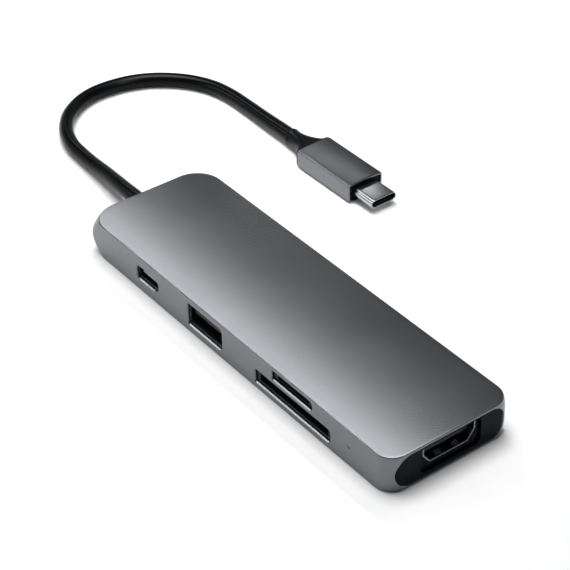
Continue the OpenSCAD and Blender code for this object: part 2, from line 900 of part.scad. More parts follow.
// The plug's outline, grown all round: straight sides, with a swelling top and bottom
module plug_outline(grow = 0) {
    r = (pow(plug_width / 2, 2) + pow(plug_crown, 2)) / (2 * plug_crown);
    translate([plug_y, plug_z]) intersection() {
        round_rect(plug_width + 2 * grow, plug_height + 2 * grow, plug_edge);
        translate([0, plug_height / 2 - r]) circle(r + grow, $fn = 240);
        translate([0, r - plug_height / 2]) circle(r + grow, $fn = 240);
    }
}

// The metal tongue's outline, grown all round
module tongue_outline(grow = 0) {
    slot(tongue_w + 2 * grow, tongue_h + 2 * grow, [plug_y, plug_z]);
}

// A ring of the boot: a circle where bulge is 2, nearly square where it is larger
function boot_ring(x, half_y, half_z, bulge) = [
    for (k = [0:boot_sides - 1])
        let (c = cos(360 * k / boot_sides), s = sin(360 * k / boot_sides))
        [
            x,
            plug_y - half_y * sign(s) * pow(abs(s), 2 / bulge),
            plug_z + half_z * sign(c) * pow(abs(c), 2 / bulge)
        ]
];

module plug_boot() {
    start = boot_end + boot_ring_length;
    run = plug_back - boot_flange_t - start;
    ring_r = boot_ring_d / 2;
    more_y = plug_width / 2 - 0.4 - ring_r;
    more_z = plug_height / 2 - 0.35 - ring_r;
    color("#121316") difference() {
        union() {
            skin_rings(concat(
                [boot_ring(boot_end, ring_r, ring_r, 2)],
                [
                    for (i = [0:boot_steps])
                        let (t = i / boot_steps, grow = pow(t, boot_flare))
                        let (half_y = ring_r + more_y * grow, half_z = ring_r + more_z * grow)
                        boot_ring(start + run * t, half_y, half_z, 2 + 3 * grow)
                ]
            ));
            along_x(plug_back - boot_flange_t, plug_back) plug_outline(-0.12);
            along_x(plug_back, plug_back + boot_plug_length) plug_outline(-plug_wall);
        }
        bar(boot_end - over, plug_back + boot_plug_length + over, cable_d, plug_y, plug_z);
    }
}

module plug_cable_end() {
    color("#121316") bar(boot_end, plug_back + boot_plug_length, cable_d, plug_y, plug_z);
}

module plug_shell() {
    color("#63666b") along_x(plug_back, plug_x) difference() {
        plug_outline();
        plug_outline(-plug_wall);
    }
}

module plug_front_plate() {
    x1 = plug_x - front_plate_inset;
    color("#101115") along_x(x1 - front_plate_t, x1) difference() {
        plug_outline(-plug_wall);
        tongue_outline();
    }
}

module plug_tongue_shell() {
    color("#c3c5c8") along_x(plug_x - tongue_root, plug_x + tongue_out) difference() {
        tongue_outline();
        tongue_outline(-metal);
    }
}

module plug_tongue_core() {
    lip = tongue_h / 2 - metal - 0.15;
    color("#141518") {
        along_x(plug_x - tongue_root, plug_x + 1.5) tongue_outline(-metal);
        along_x(plug_x + 1.5, plug_x + tongue_out - 0.8)
            for (s = [-1, 1]) square_at([plug_y, plug_z + s * lip], [5.8, 0.3]);
    }
}

module plug_board() {
    color("#1d4a34") block(
        [plug_back + boot_plug_length, plug_y - 4.2, plug_z - 0.4],
        [plug_x - tongue_root, plug_y + 4.2, plug_z + 0.4]
    );
}

housing();
video_end_cap();
cable_end_cap();
inner_tray();
main_board();
board_screws();
video_shell();
video_tongue();
video_contacts();
usb_a_shell();
usb_a_tongue();
usb_a_contacts();
usb_c_shell();
usb_c_tongue();
usb_c_contacts();
wide_slot_base();
wide_slot_cover();
wide_slot_contacts();
small_slot_base();
small_slot_cover();
small_slot_contacts();
card_sled();
card_spring();
light_pipe();
status_led();
hub_chip();
video_chip();
card_chip();
power_chip();
shield_can();
thermal_pad();
crystal();
power_inductors();
capacitors();
cable_grommet();
cable_tail();
cable_clamp();
cable_wires();
cable();
plug_boot();
plug_cable_end();
plug_shell();
plug_front_plate();
plug_tongue_shell();
plug_tongue_core();
plug_board();
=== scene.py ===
"""Looks for a slim port hub with a captive cable and plug.

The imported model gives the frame. The sleeve, the cable, the collar, the carriage's spring and the
plug's outer pieces are surfaces worked out with numpy. Their sizes and places are in millimetres,
and MM turns them into the frame's metres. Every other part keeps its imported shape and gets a
procedural finish. The camera, the floor and the lights are in metres.
"""

from __future__ import annotations

import json
import logging
from dataclasses import dataclass, field
from enum import Enum

import bpy
import numpy as np
from mathutils import Matrix

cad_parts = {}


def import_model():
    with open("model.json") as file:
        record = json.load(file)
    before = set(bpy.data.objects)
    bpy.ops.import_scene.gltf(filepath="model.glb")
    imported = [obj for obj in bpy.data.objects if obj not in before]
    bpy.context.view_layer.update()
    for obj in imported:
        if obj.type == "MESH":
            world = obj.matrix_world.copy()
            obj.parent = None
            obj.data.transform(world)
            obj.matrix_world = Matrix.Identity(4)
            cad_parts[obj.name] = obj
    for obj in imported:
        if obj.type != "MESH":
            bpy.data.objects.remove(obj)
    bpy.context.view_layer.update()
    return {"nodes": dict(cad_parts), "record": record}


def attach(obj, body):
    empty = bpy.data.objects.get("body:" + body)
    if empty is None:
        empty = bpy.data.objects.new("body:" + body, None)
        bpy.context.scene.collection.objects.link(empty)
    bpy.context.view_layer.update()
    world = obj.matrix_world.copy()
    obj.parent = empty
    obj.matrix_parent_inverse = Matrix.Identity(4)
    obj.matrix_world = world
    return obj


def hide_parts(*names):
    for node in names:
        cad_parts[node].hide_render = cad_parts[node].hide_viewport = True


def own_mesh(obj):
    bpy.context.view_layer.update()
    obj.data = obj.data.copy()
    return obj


MM = 0.001
BODY = "hub"
LOG = logging.getLogger("hub")


# ---- Mesh helpers ----


class Ends(Enum):
    """How a stack of rings is closed."""

    FLAT = "a flat face at the first ring and at the last"
    JOINED = "the last ring meets the first, as on a tube with a bore"


def ring_faces(rings: int, points: int, ends: Ends) -> list:
    """Joins a stack of closed rings with four-sided faces, and closes its ends.

    Point k of ring i is number i * points + k. Each face takes two neighbouring points of one
    ring and the same two of the next ring.

    Args:
        rings: How many rings there are.
        points: How many points each ring has.
        ends: How the stack is closed.

    Returns:
        The faces, as lists of point numbers.
    """
    spans = rings if ends is Ends.JOINED else rings - 1
    i, k = np.meshgrid(np.arange(spans), np.arange(points), indexing="ij")
    nxt = (k + 1) % points
    up = ((i + 1) % rings) * points
    faces = np.stack([i * points + k, i * points + nxt, up + nxt, up + k], axis=-1)
    out = faces.reshape(-1, 4).tolist()
    if ends is Ends.FLAT:
        out.append(list(range(points - 1, -1, -1)))
        out.append(list(range((rings - 1) * points, rings * points)))
    return out


def ring_object(name: str, rings: np.ndarray, ends: Ends, sharp: float = 32.0) -> bpy.types.Object:
    """Makes an object from a stack of rings, with its faces outwards.

    Args:
        name: The piece's name.
        rings: Points in millimetres, as ring by point by coordinate.
        ends: How the stack is closed.
        sharp: Edges that turn by more than this many degrees stay crisp.

    Returns:
        The new object, at the origin.
    """
    count, points, _ = rings.shape
    mesh = bpy.data.meshes.new(name)
    mesh.from_pydata((rings.reshape(-1, 3) * MM).tolist(), [], ring_faces(count, points, ends))
    mesh.validate()
    if signed_volume(mesh) < 0:
        mesh.flip_normals()
    soften(mesh, sharp)
    obj = bpy.data.objects.new(name, mesh)
    bpy.context.scene.collection.objects.link(obj)
    return obj


def signed_volume(mesh: bpy.types.Mesh) -> float:
    """Adds the volumes of the cones from the origin to each triangle: below 0 is inside out."""
    mesh.calc_loop_triangles()
    corners = np.empty(len(mesh.loop_triangles) * 3, dtype=np.int32)
    mesh.loop_triangles.foreach_get("vertices", corners)
    points = np.empty(len(mesh.vertices) * 3)
    mesh.vertices.foreach_get("co", points)
    tri = points.reshape(-1, 3)[corners.reshape(-1, 3)]
    return float(np.einsum("ij,ij->i", tri[:, 0], np.cross(tri[:, 1], tri[:, 2])).sum() / 6)


def soften(mesh: bpy.types.Mesh, sharp: float) -> None:
    """Shades a mesh smooth, apart from edges that turn by more than sharp degrees."""
    mesh.shade_smooth()
    mesh.set_sharp_from_angle(angle=np.radians(sharp))


def rounded_box(half_w: float, half_h: float, radius: float, steps: int = 8) -> np.ndarray:
    """The outline of a rectangle with round corners, about the origin, anticlockwise.

    Each corner is a quarter circle about a centre one radius in from both sides.

    Args:
        half_w: Half the width.
        half_h: Half the height.
        radius: The corners' radius.
        steps: Steps in each quarter circle.

    Returns:
        Points as rows of two numbers.
    """
    turn = np.linspace(0, np.pi / 2, steps + 1)
    angle = np.concatenate([turn + q * np.pi / 2 for q in range(4)])
    sx = np.repeat([1, -1, -1, 1], steps + 1)
    sy = np.repeat([1, 1, -1, -1], steps + 1)
    x = sx * (half_w - radius) + radius * np.cos(angle)
    y = sy * (half_h - radius) + radius * np.sin(angle)
    return np.stack([x, y], axis=1)


def smooth_path(points: np.ndarray, per_span: int) -> np.ndarray:
    """A smooth curve through points, each span a cubic whose slopes come from its neighbours.

    At parameter t of a span from b to c, with a before and d after, the place is
    b + t(c - a)/2 + t^2(a - 5b/2 + 2c - d/2) + t^3(3b/2 - 3c/2 - a/2 + d/2).

    Args:
        points: The points that the curve passes through, as rows.
        per_span: Steps in each span.

    Returns:
        The curve's points, as rows.
    """
    first = 2 * points[0] - points[1]
    last = 2 * points[-1] - points[-2]
    p = np.vstack([first, points, last])
    a, b, c, d = (p[i : i + len(points) - 1, None, :] for i in range(4))
    t = (np.arange(per_span) / per_span)[None, :, None]
    curve = b + t * (c - a) / 2 + t**2 * (a - 2.5 * b + 2 * c - d / 2)
    curve = curve + t**3 * (1.5 * (b - c) + (d - a) / 2)
    return np.vstack([curve.reshape(-1, 3), points[-1]])


def tube_rings(path: np.ndarray, radius: float, sides: int, up: tuple) -> np.ndarray:
    """The rings of a round tube along a path.

    At each point of the path a ring lies square to it: the point, plus the radius times
    (side cos a + top sin a), where side is square to the path and to up, and top to both.

    Args:
        path: The middle line, as rows of three numbers.
        radius: The tube's radius.
        sides: Points in each ring.
        up: A direction that the path never follows.

    Returns:
        Points, as ring by point by coordinate.
    """
    ahead = np.gradient(path, axis=0)
    ahead /= np.linalg.norm(ahead, axis=1, keepdims=True)
    side = np.cross(ahead, up)
    side /= np.linalg.norm(side, axis=1, keepdims=True)
    top = np.cross(side, ahead)
    a = np.linspace(0, 2 * np.pi, sides, endpoint=False)[None, :, None]
    return path[:, None] + radius * (side[:, None] * np.cos(a) + top[:, None] * np.sin(a))


# ---- Finishes ----


def linear(code: str) -> tuple[float, float, float, float]:
    """Turns an sRGB hex colour such as #63666b to linear light, with full alpha."""
    c = np.array([int(code[i : i + 2], 16) for i in (1, 3, 5)]) / 255
    c = np.where(c <= 0.04045, c / 12.92, ((c + 0.055) / 1.055) ** 2.4)
    return (float(c[0]), float(c[1]), float(c[2]), 1.0)


def add_node(tree: bpy.types.NodeTree, kind: str, settings: dict, sockets: dict) -> bpy.types.Node:
    """Adds a node, gives it its settings, and sets or links its sockets.

    Args:
        tree: The material's node tree.
        kind: The node's type name.
        settings: The node's own properties.
        sockets: Values by socket name or number; another node's socket is linked.

    Returns:
        The new node.
    """
    node = tree.nodes.new(kind)
    for key, value in settings.items():
        setattr(node, key, value)
    for key, value in sockets.items():
        if isinstance(value, bpy.types.NodeSocket):
            tree.links.new(value, node.inputs[key])
        else:
            node.inputs[key].default_value = value
    return node


@dataclass(frozen=True)
class Finish:
    """A plain finish: a colour that varies a little, a gloss that varies, and a fine grain.

    grain_mm is the width of one grain of the surface. cloud_mm is the width of the soft patches
    in which the colour and gloss vary.
    """

    name: str
    colour: str
    shade: str
    roughness: float
    metallic: float = 0.0
    ior: float = 1.5
    specular: float = 0.5
    grain_mm: float = 0.3
    grain_height_mm: float = 0.01
    cloud_mm: float = 9.0
    gloss_spread: float = 0.05
    stretch: tuple[float, float, float] = (1.0, 1.0, 1.0)

    def build(self) -> bpy.types.Material:
        """Builds the finish's material and returns it."""
        made = bpy.data.materials.new(self.name)
        made.use_nodes = True
        tree = made.node_tree
        tree.nodes.clear()
        place = self.place(tree)
        soft = add_node(
            tree,
            "ShaderNodeTexNoise",
            {},
            {"Vector": place, "Scale": 1 / (self.cloud_mm * MM), "Detail": 3.0},
        )
        shader = add_node(
            tree,
            "ShaderNodeBsdfPrincipled",
            {},
            {
                "Metallic": self.metallic,
                "Base Color": self.tint(tree, place, soft),
                "Roughness": self.gloss(tree, soft),
                "Normal": self.relief(tree, place),
            },
        )
        if self.metallic < 0.5:
            shader.inputs["IOR"].default_value = self.ior
            shader.inputs["Specular IOR Level"].default_value = self.specular
        self.extras(shader)
        add_node(tree, "ShaderNodeOutputMaterial", {}, {"Surface": shader.outputs["BSDF"]})
        return made

    def place(self, tree: bpy.types.NodeTree) -> bpy.types.NodeSocket:
        """The place on the piece that patterns read: its own coordinates, stretched."""
        source = add_node(tree, "ShaderNodeTexCoord", {}, {})
        turned = add_node(
            tree,
            "ShaderNodeMapping",
            {},
            {"Vector": source.outputs["Object"], "Scale": self.stretch},
        )
        return turned.outputs["Vector"]

    def tint(
        self, tree: bpy.types.NodeTree, place: bpy.types.NodeSocket, soft: bpy.types.Node
    ) -> bpy.types.NodeSocket:
        """The colour, mixed between its two tones by the soft patches.

        A mix node repeats its sockets' names for each kind of value, so they go by number: 0 is
        the factor, and 6 and 7 are the two colours.

        Args:
            tree: The material's node tree.
            place: The place that patterns read; not used here.
            soft: The noise node of the soft patches.

        Returns:
            The colour's socket.
        """
        mix = add_node(
            tree,
            "ShaderNodeMix",
            {"data_type": "RGBA"},
            {0: soft.outputs["Fac"], 6: linear(self.colour), 7: linear(self.shade)},
        )
        return mix.outputs[2]

    def gloss(self, tree: bpy.types.NodeTree, soft: bpy.types.Node) -> bpy.types.NodeSocket:
        """The roughness, spread a little about its value by the soft patches."""
        spread = add_node(
            tree,
            "ShaderNodeMapRange",
            {},
            {
                "Value": soft.outputs["Fac"],
                "From Min": 0.3,
                "From Max": 0.7,
                "To Min": self.roughness - self.gloss_spread,
                "To Max": self.roughness + self.gloss_spread,
            },
        )
        return spread.outputs["Result"]

    def relief(
        self, tree: bpy.types.NodeTree, place: bpy.types.NodeSocket
    ) -> bpy.types.NodeSocket:
        """The fine grain, as a bump of grain_height_mm."""
        grain = add_node(
            tree,
            "ShaderNodeTexNoise",
            {},
            {"Vector": place, "Scale": 1 / (self.grain_mm * MM), "Detail": 2.0},
        )
        bump = add_node(
            tree,
            "ShaderNodeBump",
            {},
            {"Height": grain.outputs["Fac"], "Distance": self.grain_height_mm * MM},
        )
        return bump.outputs["Normal"]

    def extras(self, shader: bpy.types.Node) -> None:
        """Sets what only some finishes have; a plain finish has nothing more."""


@dataclass(frozen=True)
class LacqueredFinish(Finish):
    """A finish under a clear coat, such as gloss plastic or solder mask."""

    coat: float = 0.3
    coat_roughness: float = 0.12

    def extras(self, shader: bpy.types.Node) -> None:
        """Sets the clear coat."""
        shader.inputs["Coat Weight"].default_value = self.coat
        shader.inputs["Coat Roughness"].default_value = self.coat_roughness


@dataclass(frozen=True)
class ClearFinish(Finish):
    """A clear moulded plastic that light passes through."""

    see_through: float = 0.85

    def extras(self, shader: bpy.types.Node) -> None:
        """Sets how much light passes."""
        shader.inputs["Transmission Weight"].default_value = self.see_through


@dataclass(frozen=True)
class JacketFinish(Finish):
    """An extruded jacket: fine drawn lines that run along the cable, from its own UV map.

    The map's first number is the distance along the cable in metres, and the second the
    distance round it in metres. draw is the pattern's scale along the cable, as a share of its
    scale round it, so a small share draws the lines out.
    """

    draw: float = 0.04

    def place(self, tree: bpy.types.NodeTree) -> bpy.types.NodeSocket:
        """The place on the jacket, unrolled, and drawn out along the cable."""
        source = add_node(tree, "ShaderNodeTexCoord", {}, {})
        drawn = add_node(
            tree,
            "ShaderNodeMapping",
            {},
            {"Vector": source.outputs["UV"], "Scale": (self.draw, 1.0, 1.0)},
        )
        return drawn.outputs["Vector"]


@dataclass(frozen=True)
class BoardFinish(LacqueredFinish):
    """Solder mask over copper: tracks show as a slightly lighter net of lines."""

    track_mm: float = 1.4

    def tint(
        self, tree: bpy.types.NodeTree, place: bpy.types.NodeSocket, soft: bpy.types.Node
    ) -> bpy.types.NodeSocket:
        """The mask's colour, lighter along straight tracks.

        Args:
            tree: The material's node tree.
            place: The place that patterns read.
            soft: The noise node of the soft patches; not used here.

        Returns:
            The colour's socket.
        """
        tracks = add_node(
            tree,
            "ShaderNodeTexBrick",
            {"offset": 0.5, "squash": 0.6},
            {
                "Vector": place,
                "Color1": linear(self.colour),
                "Color2": linear(self.colour),
                "Mortar": linear(self.shade),
                "Scale": 1 / (self.track_mm * 4 * MM),
                "Mortar Size": 0.03,
            },
        )
        return tracks.outputs["Color"]


def finishes() -> dict[str, Finish]:
    """The finish of each of the record's material slots."""
    return {
        # Anodised aluminium, bead blasted before dyeing: a soft metallic sheen without streaks.
        # Its real grit of about 0.1 mm is too fine to show, so its grain is drawn at 0.5 mm.
        "anodised_aluminium": Finish(
            "anodised_aluminium", "#737477", "#707174", 0.26, 1.0,
            grain_mm=0.5, grain_height_mm=0.002, cloud_mm=14.0, gloss_spread=0.01,
        ),
        # ABS, moulded against a polished tool: black with a satin gloss
        "cap_plastic": LacqueredFinish(
            "cap_plastic", "#080c14", "#060910", 0.28, specular=0.04,
            grain_mm=0.35, grain_height_mm=0.002, coat=0.01, coat_roughness=0.2,
        ),
        # ABS, moulded against a textured tool: dull
        "frame_plastic": Finish(
            "frame_plastic", "#1f2226", "#191c20", 0.6, grain_mm=0.4, grain_height_mm=0.02,
        ),
        # Glass laminate under green solder mask: glossy, with tracks
        "board_laminate": BoardFinish(
            "board_laminate", "#1b4632", "#27593f", 0.35, grain_mm=0.5, coat=0.4,
        ),
        # Zinc plated steel: bright, with faint turning marks
        "screw_steel": Finish(
            "screw_steel", "#babdc1", "#aeb1b6", 0.3, 1.0, grain_mm=0.2, stretch=(1, 1, 5),
        ),
        # Nickel plated steel, stamped: bright, with faint rolling lines along the strip
        "socket_steel": Finish(
            "socket_steel", "#84878c", "#797c81", 0.28, 1.0,
            grain_mm=0.25, grain_height_mm=0.003, stretch=(0.12, 1, 1),
        ),
        # Glass-filled nylon, moulded: dull black
        "socket_insulator": Finish(
            "socket_insulator", "#141619", "#101215", 0.5, specular=0.3,
            grain_mm=0.3, grain_height_mm=0.006,
        ),
        # Nickel plated steel over a moulded core: pale and satin
        "tongue_plate": Finish(
            "tongue_plate", "#a3a6aa", "#989b9f", 0.42, 1.0,
            grain_mm=0.25, grain_height_mm=0.004,
        ),
        # Gold over nickel: warm and bright
        "gold_contacts": Finish(
            "gold_contacts", "#d8b15c", "#c9a24e", 0.25, 1.0, grain_mm=0.2,
            grain_height_mm=0.002, stretch=(1, 0.15, 1),
        ),
        # Polycarbonate, moulded clear: lets the light through
        "clear_light_pipe": ClearFinish(
            "clear_light_pipe", "#dfe4e8", "#d3d9de", 0.15, ior=1.58, grain_mm=0.3,
            grain_height_mm=0.001,
        ),
        # Silicone resin over a white reflector: pale yellow and waxy
        "led_resin": LacqueredFinish(
            "led_resin", "#efe6bd", "#e2d8ab", 0.3, grain_mm=0.3, grain_height_mm=0.002,
        ),
        # Moulded epoxy with silica: dull charcoal
        "chip_epoxy": Finish(
            "chip_epoxy", "#26282b", "#1f2124", 0.62, grain_mm=0.25, grain_height_mm=0.01,
        ),
        # Tinplate, stamped: bright, with rolling lines
        "shield_steel": Finish(
            "shield_steel", "#c4c7cb", "#b6b9be", 0.28, 1.0, grain_mm=0.3,
            grain_height_mm=0.003, stretch=(0.1, 1, 1),
        ),
        # Filled silicone sheet: soft, dull and blue-grey
        "thermal_silicone": Finish(
            "thermal_silicone", "#8fa3b5", "#8296a9", 0.75, ior=1.41, grain_mm=0.6,
            grain_height_mm=0.03,
        ),
        # Fired ceramic: dull tan
        "ceramic": Finish(
            "ceramic", "#a8865a", "#98774c", 0.5, grain_mm=0.2, grain_height_mm=0.004,
        ),
        # Pressed ferrite powder: grey and grainy
        "ferrite": Finish(
            "ferrite", "#3a3d42", "#303338", 0.58, grain_mm=0.2, grain_height_mm=0.02,
        ),
        # Thermoplastic rubber, extruded: satin black with faint drawn lines
        "cable_jacket": JacketFinish(
            "cable_jacket", "#050608", "#040506", 0.26, specular=0.1,
            grain_mm=0.3, grain_height_mm=0.012, cloud_mm=3.0,
        ),
        # Thermoplastic rubber, moulded: satin black with a fine tool grain
        "moulded_boot": Finish(
            "moulded_boot", "#050608", "#040506", 0.34, specular=0.1,
            grain_mm=0.3, grain_height_mm=0.005,
        ),
        # Extruded PVC: red and glossy
        "wire_insulation": LacqueredFinish(
            "wire_insulation", "#a33b32", "#94332b", 0.35, grain_mm=0.3,
            grain_height_mm=0.004, stretch=(0.1, 1, 1),
        ),
        # Tinned copper, crimped: dull silver with pressing marks
        "crimp_metal": Finish(
            "crimp_metal", "#a5a8ac", "#96999e", 0.36, 1.0, grain_mm=0.4,
            grain_height_mm=0.02,
        ),
        # Stainless steel, deep drawn and bright nickel plated: nearly a mirror
        "plug_steel": Finish(
            "plug_steel", "#b4b6b9", "#abadb0", 0.2, 1.0, grain_mm=0.3,
            grain_height_mm=0.0015, gloss_spread=0.03, stretch=(0.15, 1, 1),
        ),
    }


class Wardrobe:
    """Builds each finish once, and dresses pieces in it."""

    def __init__(self, record: dict) -> None:
        """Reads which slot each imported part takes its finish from.

        Args:
            record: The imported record.
        """
        self.slots = {part["node"]: part["material_slot"] for part in record["subparts"]}
        self.known = finishes()
        self.made: dict[str, bpy.types.Material] = {}

    def material(self, slot: str) -> bpy.types.Material:
        """The material of a slot, built on first use."""
        if slot not in self.made:
            self.made[slot] = self.known[slot].build()
        return self.made[slot]

    def dress(self, obj: bpy.types.Object, slot: str) -> None:
        """Gives a new piece a slot's finish."""
        obj.data.materials.clear()
        obj.data.materials.append(self.material(slot))

    def dress_packed(self, nodes: dict) -> None:
        """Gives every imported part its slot's finish."""
        for name, obj in nodes.items():
            made = self.material(self.slots[name])
            if not obj.material_slots:
                obj.data.materials.append(made)
            for slot in obj.material_slots:
                slot.material = made
            LOG.info("packed part %s: %s", name, self.slots[name])


# ---- Housing ----


@dataclass
class Opening:
    """An opening through the sleeve's near side wall: a rectangle with round corners.

    chamfer is how far it flares at the face, and proud is how far its cutter stands out of it.
    """

    x: float
    z: float
    width: float
    height: float
    radius: float
    chamfer: float = 0.28
    proud: float = 1.0
    corner_steps: int = 10

    def cutter(self, name: str, face_y: float, depth: float) -> bpy.types.Object:
        """The solid that cuts the opening: its outline carried inwards, flared at the face.

        Args:
            name: The cutter's name.
            face_y: Where the side face is.
            depth: How far in the cutter reaches.

        Returns:
            The cutter.
        """
        outer = (-self.proud, self.proud + self.chamfer)
        places = (outer, (self.chamfer, 0.0), (depth, 0.0))
        rings = np.stack([self.ring(face_y + y, grow) for y, grow in places])
        return ring_object(name, rings, Ends.FLAT)

    def ring(self, y: float, grow: float) -> np.ndarray:
        """The outline at a place across the wall, grown all round."""
        half_w, half_h = self.width / 2 + grow, self.height / 2 + grow
        flat = rounded_box(half_w, half_h, self.radius + grow, self.corner_steps)
        return np.stack(
            [self.x + flat[:, 0], np.full(len(flat), y), self.z + flat[:, 1]], axis=1
        )


@dataclass
class Sleeve:
    """The aluminium sleeve: shaped corners, crisp edges, a bore, and openings in one side.

    socket_end and cable_end shape the corners at each end: the radius at half height, the radius
    at the top and bottom faces, and the power that it grows with. hold is how far the points that
    keep a face's shading flat lie from its edge, and wall_starts does the same up the side wall.
    """

    length: float = 116.0
    width: float = 35.0
    height: float = 9.8
    edge: float = 0.2
    hold: float = 0.5
    wall_starts: tuple[float, float] = (0.12, 0.35)
    wall_rings: int = 26
    corner_steps: int = 14
    cut_depth: float = 6.0
    sharp: float = 28.0
    bore_half_width: float = 15.3
    bore_radius: float = 4.0
    seat_depth: float = 2.0
    seat_step: float = 0.2
    rim_chamfer: float = 0.15
    socket_end: tuple[float, float, float] = (3.8, 5.0, 4.0)
    cable_end: tuple[float, float, float] = (2.4, 7.4, 2.0)
    openings: dict[str, Opening] = field(
        default_factory=lambda: {
            "small_port": Opening(-32.2, 5.15, 9.34, 3.66, 1.829),
            "large_port": Opening(-8.6, 5.15, 13.6, 5.9, 0.9),
            "wide_slot": Opening(24.5, 3.5, 27.2, 3.4, 0.6),
            "small_slot": Opening(24.5, 7.675, 14.4, 2.25, 0.6),
            "light_hole": Opening(44.7, 5.4, 1.0, 1.0, 0.499, 0.06),
        }
    )

    def corner_radius(self, u: np.ndarray, shape: tuple[float, float, float]) -> np.ndarray:
        """The corner radius at a level from 0 to 1: the middle's, growing to the faces'.

        The growth is the distance from half height, from 0 to 1, to the shape's power.

        Args:
            u: Levels, where 0 is the bottom face and 1 the top.
            shape: The middle's radius, the faces' radius, and the power.

        Returns:
            A radius for each level.
        """
        middle, face, power = shape
        return middle + (face - middle) * np.abs(2 * u - 1) ** power

    def levels(self) -> tuple[np.ndarray, np.ndarray]:
        """The height of each ring of the outside, and how far it is inset.

        Each long edge is a quarter circle: height e - e cos t and inset e - e sin t. A ring
        on each flat face, just inside its edge, keeps the face's shading flat.

        Returns:
            Heights, and insets.
        """
        t = np.linspace(0, np.pi / 2, 6)
        e = self.edge
        low_z = np.concatenate([[0.0], e - e * np.cos(t)])
        low_in = np.concatenate([[e + self.hold], e - e * np.sin(t)])
        first, second = self.wall_starts
        between = np.linspace(e + second, self.height - e - second, self.wall_rings)
        walls = np.concatenate([[e + first], between, [self.height - e - first]])
        z = np.concatenate([low_z, walls, self.height - low_z[::-1]])
        inset = np.concatenate([low_in, np.zeros(len(walls)), low_in[::-1]])
        return z, inset

    def outside(self) -> np.ndarray:
        """The rings of the outside: four corner arcs, joined by straight sides.

        A corner's arc has its centre one radius in from both sides, and the inset makes its
        radius smaller. Two more points on each side, near the arcs, keep the side's shading
        flat.

        Returns:
            Points, as ring by point by coordinate.
        """
        z, inset = self.levels()
        u = z / self.height
        near = self.corner_radius(u, self.socket_end)
        far = self.corner_radius(u, self.cable_end)
        turn = np.linspace(0, np.pi / 2, self.corner_steps + 1)[None, :]
        parts = []
        corners = ((1, 1, near, 0), (-1, 1, far, 1), (-1, -1, far, 2), (1, -1, near, 3))
        for i, (sx, sy, radius, quarter) in enumerate(corners):
            a = turn + quarter * np.pi / 2
            r = (radius - inset)[:, None]
            x = sx * (self.length / 2 - radius)[:, None] + r * np.cos(a)
            y = sy * (self.width / 2 - radius)[:, None] + r * np.sin(a)
            along = np.array([(-1, 0), (0, -1), (1, 0), (0, 1)][i]) * self.hold
            before = np.array([(0, 1), (-1, 0), (0, -1), (1, 0)][i]) * self.hold
            parts.append((x[:, :1] - before[0], y[:, :1] - before[1]))
            parts.append((x, y))
            parts.append((x[:, -1:] + along[0], y[:, -1:] + along[1]))
        xs = np.concatenate([p[0] for p in parts], axis=1)
        ys = np.concatenate([p[1] for p in parts], axis=1)
        zs = np.repeat(z[:, None], xs.shape[1], axis=1)
        return np.stack([xs, ys, zs], axis=-1)

    def bore(self) -> np.ndarray:
        """The rings of the solid that cuts the bore, with a wider seat at each end.

        Each ring is a slot with full round sides, grown all round by the seat's step, and by
        more past the end face, which leaves a small chamfer round the rim.

        Returns:
            Points, as ring by point by coordinate.
        """
        half = self.length / 2
        seat = half - self.seat_depth
        step, cut = self.seat_step, self.rim_chamfer
        stations = [(half + 1, step + 1 + cut), (half - cut, step), (seat, step), (seat, 0.0)]
        stations = [(-x, g) for x, g in stations] + stations[::-1]
        rings = []
        for x, grow in stations:
            flat = rounded_box(
                self.bore_half_width + grow, self.bore_radius + grow,
                self.bore_radius + grow - 0.001, 20,
            )
            rings.append(
                np.stack(
                    [np.full(len(flat), x), flat[:, 0], self.height / 2 + flat[:, 1]], axis=1
                )
            )
        return np.stack(rings)

    def build(self) -> bpy.types.Object:
        """Cuts the bore and the openings out of the outside, and returns the sleeve."""
        body = ring_object("sleeve", self.outside(), Ends.FLAT)
        face_y = -self.width / 2
        cutters = [ring_object("cut_bore", self.bore(), Ends.FLAT)]
        for name, opening in self.openings.items():
            cutters.append(opening.cutter("cut_" + name, face_y, self.cut_depth))
        for cutter in cutters:
            cut = body.modifiers.new(cutter.name, "BOOLEAN")
            cut.operation = "DIFFERENCE"
            cut.solver = "EXACT"
            cut.object = cutter
        view = bpy.context.evaluated_depsgraph_get()
        mesh = bpy.data.meshes.new_from_object(body.evaluated_get(view))
        body.modifiers.clear()
        body.data = mesh
        mesh.name = "sleeve"
        soften(mesh, self.sharp)
        for cutter in cutters:
            bpy.data.objects.remove(cutter)
        LOG.info("sleeve: %d faces", len(mesh.polygons))
        return body


# ---- Cable ----


